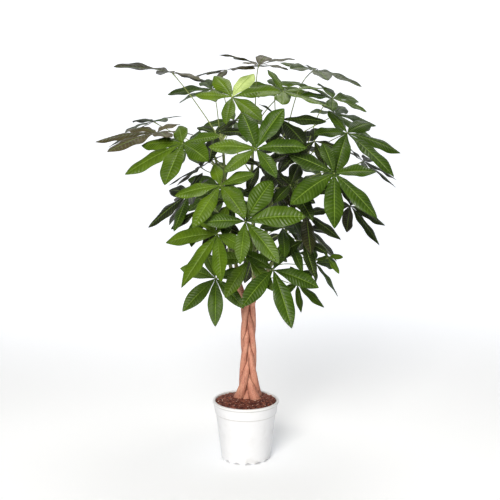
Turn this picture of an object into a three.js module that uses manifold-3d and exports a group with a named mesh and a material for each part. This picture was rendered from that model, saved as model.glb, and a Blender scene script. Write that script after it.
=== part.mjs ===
// A potted money tree (Pachira aquatica): five young trunks plaited together, a round crown of
// hand-shaped leaves, potting soil and a plain white plastic nursery pot. Millimetres, +Z up,
// the front faces -Y, and the origin is the middle of the pot's underside.
import * as THREE from "three";
import { mergeVertices } from "three/addons/utils/BufferGeometryUtils.js";
import Module from "manifold-3d";

const wasm = await Module();
wasm.setup();

// ---- Driving dimensions, in millimetres and degrees ----------------------------------------
const POT_HEIGHT = 190;
const POT_RIM_RADIUS = 105;
const POT_BASE_RADIUS = 78.5;
const POT_WALL = 2.2;
const POT_FLOOR = 2.6;
const POT_CHAMFER = 4;
const COLLAR_HEIGHT = 39; // the straighter band under the rim
const COLLAR_STEP = 3; // how far the band stands out from the wall below it
const LIP_OUT = 2.4; // the rolled edge stands out from the band
const LIP_HEIGHT = 7;
const POT_SIDES = 40;
const DRAIN_ARCHES = 14; // arches round the foot, where water drains
const DRAIN_START = 275; // where the first one is, in degrees from the right towards the back
const DRAIN_WIDTH = 20;
const DRAIN_HEIGHT = 7;
const DRAIN_DEPTH = 9;
const DRAIN_SIDES = 16;
const GAP = 0.35; // clearance between pieces that touch

const SOIL_EDGE = 185; // height of the soil against the wall
const SOIL_MOUND = 195; // height of the soil round the trunk
const SOIL_MOUND_RADIUS = 50;
const ROOT_DEPTH = 42; // how deep the trunks stand in the soil

const STRANDS = 5;
const PLAIT_CENTRE_X = 8;
const PLAIT_CENTRE_Y = 10;
const PLAIT_START = 211; // height where the first strand crosses the middle
const PLAIT_PITCH = 520; // height of one full turn of a strand through the plait
const PLAIT_TOP = 500;
const PLAIT_STEP = 20;
const STRAND_RADIUS = 6.7;
const STRAND_FLARE = 6.5; // extra radius at the soil
const FLARE_HEIGHT = 50;
const PLAIT_WIDTH = 2.69; // half width of the plait, in strand radii
const PLAIT_DEPTH = 1.92; // half depth of the plait, in strand radii
const STEM_TIP_RADIUS = 3.6;
const STEM_SIDES = 7;
const STEM_STEPS_ABOVE = 12;

const PETIOLE_BASE_RADIUS = 2.3;
const PETIOLE_TIP_RADIUS = 1.6;
const PETIOLE_SIDES = 3;
const PETIOLE_STATIONS = [0, 0.3, 0.65, 1];
const PETIOLE_BOWS = [0, 0.12, -0.12, 0.24, -0.24, 0.36, -0.36, 0.5, -0.5];
const HUB_RADIUS = 4.2;

const BLADE_THICKNESS = 1.3;
const BLADE_WIDTH = 0.18; // widest half width over length
const BLADE_STATIONS = [0.37, 0.73];
const BLADE_FOOT = 2.4; // distance from the hub centre to the narrow foot of a leaflet
const BLADE_FOOT_WIDTH = 1; // half width there
const BLADE_DROOP = 0.34;
const FAN_ANGLE = 272; // the leaflets' whole spread round the hub
const FAN_SHORTENING = 0.3; // how much shorter the leaflets next to the petiole are
const BLADE_LIFTS = [6, -6, 16, -16, 26, -26, 38, -38, 50, -50];
const BLADE_SCALES = [1, 0.8, 0.62];
const LEAF_CLEARANCE = 7;

// The trunks above the plait, from its top upwards: [right, back, up] in centimetres.
const STEM_ROUTES = {
  back_left: [[-2.4, 3.4, 58], [-4.6, 7.5, 72], [-6.5, 10.5, 88], [-7.5, 12, 102]],
  left: [[-2.6, -2.6, 56], [-4.9, -3.2, 64], [-5.2, -3.3, 79], [-9.2, -4.2, 96]],
  back_right: [[3.2, 3.4, 58], [6.5, 8.2, 72], [8.6, 11, 88], [10, 11.5, 101]],
  right: [[5.4, 0.6, 58], [10.6, 0.2, 68], [14.6, -0.8, 82], [16.2, -1.2, 97]],
  centre: [[2.4, -2.6, 57], [2.6, -4.4, 70], [1.8, -4.2, 88], [2.6, -2.4, 107]],
};

// One row for each leaf: the trunk that bears it, the height where its petiole starts, its hub
// as [right, back, up], the compass bearing that the blade leans to (0 right, 90 back, 180 left,
// 270 front), the lean from level, how far the fan of leaflets is turned in its own plane, the
// longest leaflet's length and the number of leaflets.
// Heights and lengths are in centimetres, angles in degrees.
const LEAVES = [
  ["centre", 95, [3, -25, 100], 265, 48, 163, 16, 6],
  ["centre", 74, [0, -32, 80.5], 275, 58, 142, 17, 6],
  ["left", 66, [-8, -26, 76], 238, 56, -91, 16, 6],
  ["left", 82, [-7, -28, 90], 250, 42, -38, 15, 5],
  ["right", 84, [25, -24, 93], 285, 50, -54, 18, 6],
  ["centre", 101, [-4, -8, 114], 262, 36, 178, 16, 6],
  ["centre", 60, [8, -22, 65], 290, 62, 16, 16, 5],
  ["left", 58, [-9, -12, 60.5], 278, 66, 34, 13.5, 6],
  ["left", 92, [-18, -18, 101], 232, 34, -14, 18, 6],
  ["left", 94, [-26.5, -5, 103.5], 240, 12, 20, 19, 6],
  ["right", 93, [30, -8, 103.5], 310, 38, 8, 18, 6],
  ["right", 96, [26, -4, 113.5], 325, 24, 150, 16, 6],
  ["back_left", 100, [-22, 0, 121], 10, 10, -46, 18, 5],
  ["centre", 105, [11, -12, 115.5], 300, 14, 40, 15, 6],
  ["centre", 99, [10, -22, 108], 88, 34, 90, 14, 6],
  ["back_left", 101, [-6, 12, 122], 190, 8, 30, 15, 6],
  ["centre", 106, [4, 10, 123.5], 20, 8, 20, 15, 6],
  ["back_right", 99, [21, 6, 122], 340, 16, -20, 16, 6],
  ["right", 86, [36.5, 6, 94], 340, 34, 30, 14, 6],
  ["right", 76, [32.5, 3, 80.5], 320, 50, -30, 14, 6],
  ["centre", 68, [11, -13, 76], 315, 54, 30, 13, 5],
  ["right", 63, [25, -5, 65.5], 300, 40, 0, 6, 4],
  ["right", 60, [22, 5, 62], 330, 56, 20, 12, 5],
  ["right", 57, [16, -1, 56.5], 310, 60, -10, 10, 5],
  ["left", 76, [-17, -9, 85.5], 215, 48, -20, 14, 5],
  ["back_left", 92, [-29, 12, 106], 170, 15, -15, 15, 6],
  ["back_left", 87, [-19, 26, 97], 130, 40, 35, 15, 6],
  ["back_left", 97, [-4, 31, 105.5], 95, 32, -40, 15, 6],
  ["back_right", 90, [14, 30, 98.5], 70, 40, 150, 16, 6],
  ["back_right", 95, [29, 21, 108], 35, 30, -30, 16, 6],
  ["back_left", 72, [-18, 14, 83], 160, 50, 20, 14, 6],
  ["back_left", 78, [-8, 31, 82.5], 110, 55, 165, 15, 6],
  ["back_right", 76, [9, 33, 81.5], 85, 55, -45, 15, 6],
  ["back_right", 80, [25, 24, 88], 45, 48, 40, 15, 6],
  ["back_left", 64, [-11, 18, 69], 135, 60, -25, 13, 5],
  ["back_right", 64, [4, 25, 64.5], 95, 64, 15, 14, 5],
  ["back_right", 67, [20, 19, 71], 45, 58, -20, 14, 5],
  ["back_left", 100, [-11, 20, 116], 115, 20, 60, 14, 6],
  ["back_right", 100, [9, 22, 117], 75, 18, -60, 14, 6],
  ["left", 88, [-14, 8, 92], 165, 30, 20, 14, 5],
  ["right", 90, [20, 11, 97], 30, 20, -30, 14, 5],
  ["centre", 84, [13, -17, 89], 300, 40, 60, 14, 5],
  ["centre", 58, [1, -17, 67], 270, 62, -20, 12, 5],
  ["left", 72, [-4, -17, 85], 255, 35, 40, 13, 5],
  ["right", 74, [18, -10, 79.5], 300, 45, -25, 13, 5],
  ["centre", 92, [-9, -8, 103.5], 240, 30, 70, 14, 5],
  ["right", 90, [20, -14, 101.5], 290, 30, -60, 13, 5],
  ["centre", 86, [4, -14, 94.5], 265, 46, 90, 13, 5],
  ["left", 70, [-14, -13, 81], 240, 50, 100, 13, 5],
  ["back_right", 84, [10, 0, 90.5], 290, 45, 20, 13, 5],
  ["back_left", 68, [-11, 3, 75.5], 235, 50, 60, 13, 5],
  ["right", 70, [17, -13, 72], 300, 58, -60, 12, 5],
  ["back_right", 72, [14, 12, 76], 320, 50, 40, 13, 5],
];

const COLOURS = {
  leaf: { color: 0x4a6a1e, roughness: 0.4, metalness: 0 },
  bark: { color: 0xc8876a, roughness: 0.75, metalness: 0 },
  soil: { color: 0x5a3228, roughness: 0.95, metalness: 0 },
  pot: { color: 0xf2f1ee, roughness: 0.4, metalness: 0 },
};

// ---- Helpers -------------------------------------------------------------------------------
const CM = 10;
const UP = new THREE.Vector3(0, 0, 1);
const root = new THREE.Group();

function radians(degrees) {
  return THREE.MathUtils.degToRad(degrees);
}

function point([x, y, z]) {
  return new THREE.Vector3(x, y, z).multiplyScalar(CM);
}

// A repeatable spread of values between -1 and 1, one for each whole number.
function vary(number) {
  const golden = 0.618034;
  return 2 * ((number * golden) % 1) - 1;
}

function addMesh(name, geometry, look) {
  const mesh = new THREE.Mesh(geometry, new THREE.MeshStandardMaterial(look));
  mesh.name = name;
  root.add(mesh);
}

// Makes a manifold-3d solid from a closed three.js geometry.
function toSolid(geometry) {
  const bare = geometry.clone();
  bare.deleteAttribute("normal");
  bare.deleteAttribute("uv");
  const merged = mergeVertices(bare, 1e-4);
  return new wasm.Manifold(
    new wasm.Mesh({
      numProp: 3,
      vertProperties: new Float32Array(merged.attributes.position.array),
      triVerts: new Uint32Array(merged.index.array),
    }),
  );
}

function toGeometry(solid) {
  const mesh = solid.getMesh();
  const geometry = new THREE.BufferGeometry();
  geometry.setAttribute("position", new THREE.BufferAttribute(mesh.vertProperties, 3));
  geometry.setIndex(new THREE.BufferAttribute(mesh.triVerts, 1));
  return geometry;
}

// Skins a row of rings, each with the same number of points, and closes both ends with flat fans.
// The rings' points run anticlockwise seen from the last ring.
function loft(rings) {
  const sides = rings[0].length;
  const index = [];
  for (let ring = 0; ring + 1 < rings.length; ring++) {
    for (let side = 0; side < sides; side++) {
      const a = ring * sides + side;
      const b = ring * sides + ((side + 1) % sides);
      index.push(a, b, b + sides, a, b + sides, a + sides);
    }
  }
  const last = (rings.length - 1) * sides;
  for (let side = 1; side + 1 < sides; side++) {
    index.push(0, side + 1, side);
    index.push(last, last + side, last + side + 1);
  }
  const geometry = new THREE.BufferGeometry().setFromPoints(rings.flat());
  geometry.setIndex(index);
  return geometry;
}

// A flat-ended tube of changing radius: centres, one radius for each, and a direction that the
// tube never runs along.
function taperedTube(centres, radii, across, sides) {
  const rings = centres.map((centre, i) => {
    const before = centres[Math.max(i - 1, 0)];
    const after = centres[Math.min(i + 1, centres.length - 1)];
    const along = after.clone().sub(before).normalize();
    const u = across.clone().addScaledVector(along, -across.dot(along)).normalize();
    const v = along.clone().cross(u);
    return Array.from({ length: sides }, (_, side) => {
      const angle = (2 * Math.PI * side) / sides;
      return centre
        .clone()
        .addScaledVector(u, radii[i] * Math.cos(angle))
        .addScaledVector(v, radii[i] * Math.sin(angle));
    });
  });
  return loft(rings);
}

// ---- Pot and soil --------------------------------------------------------------------------
function innerRadius(z) {
  const outer = THREE.MathUtils.mapLinear(
    z,
    POT_CHAMFER,
    POT_HEIGHT,
    POT_BASE_RADIUS,
    POT_RIM_RADIUS - LIP_OUT - COLLAR_STEP,
  );
  return outer - POT_WALL;
}

function latheUpright(profile) {
  return new THREE.LatheGeometry(profile, POT_SIDES).rotateX(Math.PI / 2);
}

function makePot() {
  const collarFoot = POT_HEIGHT - COLLAR_HEIGHT;
  const bandRadius = POT_RIM_RADIUS - LIP_OUT;
  const profile = [
    [0, 0],
    [POT_BASE_RADIUS - POT_CHAMFER, 0],
    [POT_BASE_RADIUS, POT_CHAMFER],
    [innerRadius(collarFoot) + POT_WALL, collarFoot],
    [innerRadius(collarFoot) + POT_WALL + COLLAR_STEP, collarFoot + 2],
    [bandRadius, POT_HEIGHT - LIP_HEIGHT],
    [POT_RIM_RADIUS, POT_HEIGHT - LIP_HEIGHT + 1],
    [POT_RIM_RADIUS, POT_HEIGHT - 1],
    [bandRadius, POT_HEIGHT],
    [innerRadius(POT_HEIGHT) + 0.8, POT_HEIGHT],
    [innerRadius(POT_HEIGHT), POT_HEIGHT - 1.5],
    [innerRadius(POT_FLOOR), POT_FLOOR],
    [0, POT_FLOOR],
  ];
  let pot = toSolid(latheUpright(profile.map(([r, z]) => new THREE.Vector2(r, z))));
  for (let order = 0; order < DRAIN_ARCHES; order++) {
    const half = DRAIN_WIDTH / 2;
    const cutter = new THREE.CylinderGeometry(half, half, 2 * DRAIN_DEPTH, DRAIN_SIDES);
    cutter.rotateZ(Math.PI / 2);
    cutter.scale(1, 1, DRAIN_HEIGHT / half);
    cutter.translate(POT_BASE_RADIUS, 0, 0);
    cutter.rotateZ(radians(DRAIN_START + (360 * order) / DRAIN_ARCHES));
    pot = pot.subtract(toSolid(cutter));
  }
  addMesh("pot", toGeometry(pot), COLOURS.pot);
}

function makeSoil(strands) {
  const floor = POT_FLOOR + GAP;
  const profile = [
    [0, floor],
    [innerRadius(floor) - 2 * DRAIN_DEPTH, floor],
    [innerRadius(floor + 2 * DRAIN_DEPTH) - 1, floor + 2 * DRAIN_DEPTH],
    [innerRadius(SOIL_EDGE) - GAP - 0.2, SOIL_EDGE],
    [SOIL_MOUND_RADIUS, SOIL_MOUND],
    [0, SOIL_MOUND],
  ];
  let soil = toSolid(latheUpright(profile.map(([r, z]) => new THREE.Vector2(r, z))));
  for (const strand of Object.values(strands)) soil = soil.subtract(toSolid(strand.socket));
  addMesh("soil", toGeometry(soil), COLOURS.soil);
}

// ---- Trunks --------------------------------------------------------------------------------
function strandRadius(z) {
  const above = Math.max(z - SOIL_MOUND, 0);
  return STRAND_RADIUS + STRAND_FLARE * Math.exp(-above / FLARE_HEIGHT);
}

// The strands follow one figure of eight, seen from above, each a fifth of a turn behind the last.
function strandCentre(strand, z) {
  const turn = 2 * Math.PI * ((z - PLAIT_START) / PLAIT_PITCH + strand / STRANDS);
  const radius = strandRadius(z);
  return new THREE.Vector3(
    PLAIT_CENTRE_X + PLAIT_WIDTH * radius * Math.sin(turn),
    PLAIT_CENTRE_Y + PLAIT_DEPTH * radius * Math.sin(2 * turn),
    z,
  );
}

function makeStrand(order, name) {
  const plaited = [];
  for (let z = SOIL_MOUND - ROOT_DEPTH; z < PLAIT_TOP; z += PLAIT_STEP) {
    plaited.push(strandCentre(order, z));
  }
  const free = STEM_ROUTES[name].map(point);
  const join = plaited.slice(-2);
  const branch = new THREE.CatmullRomCurve3([...join, ...free], false, "catmullrom");
  const whole = new THREE.CatmullRomCurve3([...plaited, ...free], false, "catmullrom");
  const joinShare = 1 / (free.length + 1); // the first stretch of the branch is plait already
  const centres = [...plaited];
  for (let step = 1; step <= STEM_STEPS_ABOVE; step++) {
    centres.push(branch.getPoint(joinShare + ((1 - joinShare) * step) / STEM_STEPS_ABOVE));
  }
  const top = centres.at(-1).z;
  const radii = centres.map(({ z }) => {
    const share = THREE.MathUtils.clamp((z - PLAIT_TOP) / (top - PLAIT_TOP), 0, 1);
    return THREE.MathUtils.lerp(strandRadius(z), STEM_TIP_RADIUS, share);
  });
  const across = new THREE.Vector3(1, 0, 0);
  addMesh(`stem_${name}`, taperedTube(centres, radii, across, STEM_SIDES), COLOURS.bark);

  const buried = centres.filter(({ z }) => z < SOIL_MOUND + 2 * PLAIT_STEP);
  const socketCentres = buried.map((centre) => centre.clone());
  socketCentres[0].z -= GAP;
  const socketRadii = socketCentres.map(({ z }) => strandRadius(z) + 2 * GAP);
  const socket = taperedTube(socketCentres, socketRadii, across, STEM_SIDES);
  return { centres, radii, socket, whole };
}

// The point and radius of a strand at a height.
function strandAt({ centres, radii }, z) {
  const above = centres.findIndex((centre) => centre.z >= z);
  if (above < 1) throw new Error(`no strand at a height of ${z} mm`);
  const low = centres[above - 1];
  const high = centres[above];
  const share = (z - low.z) / (high.z - low.z);
  return {
    centre: low.clone().lerp(high, share),
    radius: THREE.MathUtils.lerp(radii[above - 1], radii[above], share),
  };
}

// ---- Leaves --------------------------------------------------------------------------------
function planLeaf(row, number, strands) {
  const [stem, from, hub, bearing, lean, turn, length, count] = row;
  const start = strandAt(strands[stem], from * CM);
  const middle = point(hub);
  const outward = middle.clone().sub(start.centre).setZ(0).normalize();
  const leaning = new THREE.Vector3(Math.cos(radians(bearing)), Math.sin(radians(bearing)), 0);
  const normal = UP.clone()
    .multiplyScalar(Math.cos(radians(lean)))
    .addScaledVector(leaning, Math.sin(radians(lean)));
  const reach = start.radius + PETIOLE_BASE_RADIUS + GAP;
  const foot = start.centre.clone().addScaledVector(outward, reach);
  const ahead = outward.clone().addScaledVector(normal, -outward.dot(normal)).normalize();
  ahead.applyAxisAngle(normal, radians(turn));
  return { number, foot, hub: middle, outward, normal, ahead, length: length * CM, count };
}

function petioleCurve(leaf, bow) {
  const span = leaf.hub.distanceTo(leaf.foot);
  const sideways = leaf.outward.clone().cross(UP).multiplyScalar(bow * span);
  const first = leaf.foot
    .clone()
    .addScaledVector(leaf.outward, 0.22 * span)
    .addScaledVector(UP, 0.3 * span)
    .add(sideways);
  const second = leaf.hub
    .clone()
    .addScaledVector(leaf.normal, -0.2 * span)
    .addScaledVector(leaf.outward, -0.25 * span)
    .add(sideways);
  return new THREE.CubicBezierCurve3(leaf.foot, first, second, leaf.hub);
}

// One leaflet: its midrib leaves the hub along its own direction and droops more the further it
// reaches. Its cross-section is a flat rhombus with a ridge along the midrib.
function planLeaflet(leaf, order, lift, scale) {
  const share = leaf.count > 1 ? order / (leaf.count - 1) - 0.5 : 0;
  const swing = share * FAN_ANGLE + 7 * vary(7 * leaf.number + order);
  const side = leaf.normal.clone().cross(leaf.ahead);
  const raised = radians(lift);
  const direction = leaf.ahead
    .clone()
    .multiplyScalar(Math.cos(radians(swing)))
    .addScaledVector(side, Math.sin(radians(swing)))
    .multiplyScalar(Math.cos(raised))
    .addScaledVector(leaf.normal, Math.sin(raised));
  const shortening = 1 - FAN_SHORTENING * Math.pow(Math.abs(2 * share), 1.5);
  const length = leaf.length * shortening * scale * (1 + 0.06 * vary(5 * leaf.number + 3 * order));
  return { hub: leaf.hub, direction, normal: leaf.normal, length };
}

function bladePoint({ hub, direction, length }, t) {
  return hub
    .clone()
    .addScaledVector(direction, length * t)
    .addScaledVector(UP, -0.5 * BLADE_DROOP * length * t * t);
}

function bladeFrame(leaflet, t) {
  const along = leaflet.direction.clone().addScaledVector(UP, -BLADE_DROOP * t).normalize();
  const normal = leaflet.normal
    .clone()
    .addScaledVector(along, -leaflet.normal.dot(along))
    .normalize();
  return { centre: bladePoint(leaflet, t), normal, across: along.clone().cross(normal) };
}

// Half the blade's width: a narrow base, the widest part past the middle and a short point.
function bladeHalfWidth(length, t) {
  return length * BLADE_WIDTH * Math.pow(Math.sin(Math.PI * Math.pow(t, 1.25)), 0.85);
}

function bladeGeometry(leaflet) {
  const stations = [BLADE_FOOT / leaflet.length, ...BLADE_STATIONS];
  const rings = stations.map((t) => {
    const { centre, normal, across } = bladeFrame(leaflet, t);
    const halfWidth = Math.max(bladeHalfWidth(leaflet.length, t), BLADE_FOOT_WIDTH);
    return [
      centre.clone().addScaledVector(across, -halfWidth),
      centre.clone().addScaledVector(normal, BLADE_THICKNESS / 2),
      centre.clone().addScaledVector(across, halfWidth),
      centre.clone().addScaledVector(normal, -BLADE_THICKNESS / 2),
    ];
  });
  const tip = bladePoint(leaflet, 1);
  rings.push(rings.at(-1).map(() => tip.clone()));
  return loft(rings);
}

// The blade's mid surface as triangles and as a grid of test points.
function bladeSurface(leaflet) {
  const rows = [0.12, 0.3, 0.48, 0.66, 0.84, 1];
  const grid = rows.map((t) => {
    const { centre, across } = bladeFrame(leaflet, t);
    const halfWidth = bladeHalfWidth(leaflet.length, t);
    return [-1, -0.5, 0, 0.5, 1].map((w) => centre.clone().addScaledVector(across, w * halfWidth));
  });
  const triangles = [];
  for (let row = 0; row + 1 < grid.length; row++) {
    const [a, b, c, d] = [grid[row][0], grid[row][4], grid[row + 1][4], grid[row + 1][0]];
    triangles.push(new THREE.Triangle(a, b, c), new THREE.Triangle(a, c, d));
  }
  const points = grid.flat();
  const sphere = new THREE.Sphere().setFromPoints(points);
  return { points, triangles, sphere, owner: leaflet.owner };
}

const nearest = new THREE.Vector3();

function near(points, triangles, distance) {
  return points.some((p) =>
    triangles.some((triangle) => {
      triangle.closestPointToPoint(p, nearest);
      return nearest.distanceTo(p) < distance;
    }),
  );
}

function bladesClash(a, b) {
  if (a.sphere.center.distanceTo(b.sphere.center) > a.sphere.radius + b.sphere.radius) return false;
  return near(a.points, b.triangles, LEAF_CLEARANCE) || near(b.points, a.triangles, LEAF_CLEARANCE);
}

function rodClashes(rod, blade) {
  const close = rod.filter(
    (p) => p.distanceTo(blade.sphere.center) < blade.sphere.radius + LEAF_CLEARANCE,
  );
  return near(close, blade.triangles, LEAF_CLEARANCE + 1);
}

function rodsClash(a, b, distance) {
  return a.some((p) => b.some((q) => p.distanceTo(q) < distance));
}

// Gives every leaf a petiole and leaflets that stay clear of the trunks and of the other leaves,
// by bowing the petiole sideways and lifting, lowering or shortening leaflets.
function settleLeaves(strands) {
  const trunks = Object.values(strands).map(({ whole }) => whole.getSpacedPoints(160));
  const leaves = LEAVES.map((row, i) => planLeaf(row, i + 1, strands));
  const rods = [];
  for (const leaf of leaves) {
    const options = PETIOLE_BOWS.map((bow) => petioleCurve(leaf, bow));
    const isClear = (curve) => {
      const rod = curve.getPoints(28);
      const free = rod.slice(4);
      return (
        trunks.every((trunk) => !rodsClash(free, trunk, 15)) &&
        rods.every((other) => !rodsClash(rod, other, 8))
      );
    };
    leaf.curve = options.find(isClear) ?? options[0];
    leaf.rod = leaf.curve.getPoints(28);
    rods.push(leaf.rod);
  }
  const blades = [];
  for (const leaf of leaves) {
    leaf.blades = [];
    for (let order = 0; order < leaf.count; order++) {
      const options = BLADE_SCALES.flatMap((scale) =>
        BLADE_LIFTS.map((lift) => planLeaflet(leaf, order, lift, scale)),
      );
      const chosen = options.find((leaflet) => {
        const surface = bladeSurface(leaflet);
        return (
          trunks.every((trunk) => !rodClashes(trunk, surface)) &&
          leaves.every((other) => other === leaf || !rodClashes(other.rod, surface)) &&
          blades.every((other) => other.leaf === leaf || !bladesClash(surface, other.surface))
        );
      });
      if (chosen) {
        leaf.blades.push(chosen);
        blades.push({ leaf, surface: bladeSurface(chosen) });
      }
    }
  }
  return leaves;
}

function makeLeaf(leaf) {
  const centres = PETIOLE_STATIONS.map((t) => leaf.curve.getPoint(t));
  const radii = PETIOLE_STATIONS.map((t) =>
    THREE.MathUtils.lerp(PETIOLE_BASE_RADIUS, PETIOLE_TIP_RADIUS, t),
  );
  const across = leaf.outward.clone().cross(UP);
  let solid = toSolid(taperedTube(centres, radii, across, PETIOLE_SIDES));
  const hub = new THREE.IcosahedronGeometry(HUB_RADIUS, 0);
  hub.translate(leaf.hub.x, leaf.hub.y, leaf.hub.z);
  solid = solid.add(toSolid(hub));
  for (const leaflet of leaf.blades) solid = solid.add(toSolid(bladeGeometry(leaflet)));
  addMesh("leaf_" + String(leaf.number).padStart(2, "0"), toGeometry(solid), COLOURS.leaf);
}

// ---- The whole plant -----------------------------------------------------------------------
const strands = {};
Object.keys(STEM_ROUTES).forEach((name, order) => {
  strands[name] = makeStrand(order, name);
});
makePot();
makeSoil(strands);
settleLeaves(strands).forEach(makeLeaf);

export default root;
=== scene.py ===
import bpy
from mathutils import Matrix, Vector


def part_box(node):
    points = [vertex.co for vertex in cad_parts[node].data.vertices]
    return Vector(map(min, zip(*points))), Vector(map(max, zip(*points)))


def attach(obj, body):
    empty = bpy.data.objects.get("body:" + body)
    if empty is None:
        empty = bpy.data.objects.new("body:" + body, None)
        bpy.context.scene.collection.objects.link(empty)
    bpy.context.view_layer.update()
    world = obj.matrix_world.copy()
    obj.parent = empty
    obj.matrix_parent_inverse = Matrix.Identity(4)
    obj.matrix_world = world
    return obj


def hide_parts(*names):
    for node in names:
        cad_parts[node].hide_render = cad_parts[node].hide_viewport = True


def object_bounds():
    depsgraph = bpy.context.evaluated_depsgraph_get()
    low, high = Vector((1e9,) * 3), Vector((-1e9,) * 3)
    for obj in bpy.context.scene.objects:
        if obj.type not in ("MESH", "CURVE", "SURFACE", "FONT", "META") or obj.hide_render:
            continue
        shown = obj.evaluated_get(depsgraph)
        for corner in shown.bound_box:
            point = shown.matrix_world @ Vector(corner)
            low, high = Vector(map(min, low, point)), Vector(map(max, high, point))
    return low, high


bl_info = {
    "name": "Potted Money Tree",
    "version": (1, 0, 0),
    "blender": (4, 5, 0),
    "location": "3D View > Sidebar > Money Tree",
    "description": "Builds the pot, soil, plaited trunk and leafy crown of a potted money tree",
    "category": "Object",
}

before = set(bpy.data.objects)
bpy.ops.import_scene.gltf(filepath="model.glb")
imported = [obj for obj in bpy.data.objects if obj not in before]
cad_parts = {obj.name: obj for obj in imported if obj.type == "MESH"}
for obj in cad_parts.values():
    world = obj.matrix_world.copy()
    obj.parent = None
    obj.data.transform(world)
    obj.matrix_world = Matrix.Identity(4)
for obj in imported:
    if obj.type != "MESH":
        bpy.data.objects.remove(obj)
cad_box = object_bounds()

import math

import bmesh
import bpy
import numpy as np
from mathutils import Matrix, Vector, kdtree, noise

# ---- The plan that the frame was built to ------------------------------------------------
# Lengths are in millimetres and angles in degrees, and a leaf or trunk row is in centimetres.
MM = 0.001
CM_TO_MM = 10
UP = Vector((0, 0, 1))

SOIL_EDGE = 185
SOIL_MOUND = 195
ROOT_DEPTH = 42
STRANDS = 5
PLAIT_CENTRE_X = 8
PLAIT_CENTRE_Y = 10
PLAIT_START = 211
PLAIT_PITCH = 520
PLAIT_TOP = 500
PLAIT_STEP = 20
STRAND_RADIUS = 6.7
STRAND_FLARE = 6.5
FLARE_HEIGHT = 50
PLAIT_WIDTH = 2.69
PLAIT_DEPTH = 1.92
STEM_TIP_RADIUS = 3.6
STEM_STEPS_ABOVE = 12
GAP = 0.35

PETIOLE_BASE_RADIUS = 2.3
PETIOLE_MIDDLE = 0.65
PETIOLE_BOWS = [0, 0.12, -0.12, 0.24, -0.24, 0.36, -0.36, 0.5, -0.5]
BLADE_WIDTH = 0.18
BLADE_DROOP = 0.34
FAN_ANGLE = 272
FAN_SHORTENING = 0.3
BLADE_LIFTS = [6, -6, 16, -16, 26, -26, 38, -38, 50, -50]
BLADE_SCALES = [1, 0.8, 0.62]
SAME_POINT = 0.5

# The trunks above the plait, from its top upwards: right, back, up.
STEM_ROUTES = {
    "back_left": [(-2.4, 3.4, 58), (-4.6, 7.5, 72), (-6.5, 10.5, 88), (-7.5, 12, 102)],
    "left": [(-2.6, -2.6, 56), (-4.9, -3.2, 64), (-5.2, -3.3, 79), (-9.2, -4.2, 96)],
    "back_right": [(3.2, 3.4, 58), (6.5, 8.2, 72), (8.6, 11, 88), (10, 11.5, 101)],
    "right": [(5.4, 0.6, 58), (10.6, 0.2, 68), (14.6, -0.8, 82), (16.2, -1.2, 97)],
    "centre": [(2.4, -2.6, 57), (2.6, -4.4, 70), (1.8, -4.2, 88), (2.6, -2.4, 107)],
}

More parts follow.
